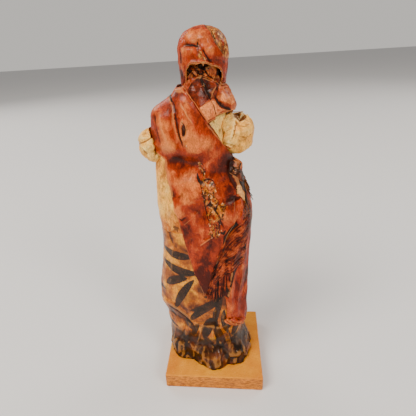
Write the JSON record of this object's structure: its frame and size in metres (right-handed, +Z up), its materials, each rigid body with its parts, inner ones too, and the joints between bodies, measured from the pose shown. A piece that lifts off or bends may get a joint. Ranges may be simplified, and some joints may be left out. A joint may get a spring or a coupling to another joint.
{
  "type": "papier-mache figure",
  "caption": "Standing papier-mache woman in a hooded shawl and long printed skirt, glued on a square wooden block; rests on the block's underside.",
  "frame": {"origin": "centre of the wooden block's underside", "axes": "+Z up the figure; the figure faces -Y, her back is towards +Y and her left hand towards +X; the block's sides are square to X and Y"},
  "size_m": [0.1014, 0.09, 0.3045],
  "materials": {
    "wood_block": "sanded fibreboard block, clear coat",
    "skirt_paper": "varnished ochre paper with black leaf strokes",
    "cream_paper": "varnished cream paper",
    "skin_paper": "painted and varnished papier-mache",
    "shawl_paper": "varnished red-brown paper, crumpled",
    "printed_paper": "varnished ochre and brown printed paper",
    "fringe_paper": "cut strands of dark painted paper"
  },
  "bodies": {
    "root": {"base_block": "wood_block", "skirt": "skirt_paper", "blouse": "cream_paper", "head": "skin_paper", "hood": "shawl_paper", "shawl_back": "shawl_paper", "nape_wrap": "shawl_paper", "neck_band": "printed_paper", "shawl_shoulder": "shawl_paper", "shawl_end": "shawl_paper", "fringe": "fringe_paper", "end_twist": "printed_paper", "sleeve_right": "cream_paper", "sleeve_left": "cream_paper", "hand_right": "skin_paper", "hand_left": "skin_paper"}
  },
  "joints": []
}
